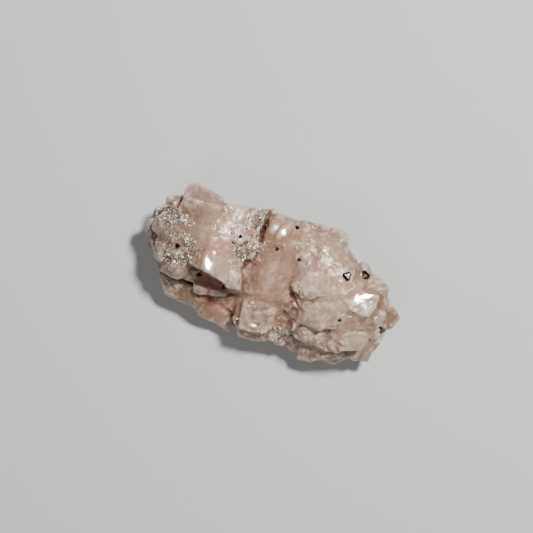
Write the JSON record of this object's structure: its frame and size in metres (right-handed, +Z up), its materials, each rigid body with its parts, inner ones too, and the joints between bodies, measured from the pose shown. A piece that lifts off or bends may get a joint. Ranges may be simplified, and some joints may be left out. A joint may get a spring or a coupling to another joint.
{
  "type": "mineral specimen",
  "caption": "Pink dolomite cluster of curved rhombs in two lumps with a groove between them, flat cut base, small dark chalcopyrite crystals seated on the display side",
  "frame": {"origin": "middle of the bounding box in plan, on the plane of the flat cut base", "axes": "+Z up out of the display side, +X along the length of the specimen from the smaller lump to the larger one, +Y across it"},
  "size_m": [0.0324, 0.0166, 0.0116],
  "materials": {
    "dolomite": "pearly, slightly translucent pink-white mineral with sugary patches and brown staining in the groove",
    "chalcopyrite": "dark tarnished metallic crystal faces, mirror-like where bare"
  },
  "bodies": {
    "root": {"dolomite_cluster": "dolomite", "chalcopyrite_shoulder": "chalcopyrite", "chalcopyrite_end": "chalcopyrite", "chalcopyrite_speckled": "chalcopyrite", "chalcopyrite_grey": "chalcopyrite", "chalcopyrite_top": "chalcopyrite", "chalcopyrite_groove": "chalcopyrite", "chalcopyrite_terrace": "chalcopyrite", "chalcopyrite_terrace_foot": "chalcopyrite", "chalcopyrite_bench": "chalcopyrite", "chalcopyrite_pocket": "chalcopyrite", "chalcopyrite_pocket_right": "chalcopyrite", "chalcopyrite_shelf": "chalcopyrite"}
  },
  "joints": []
}
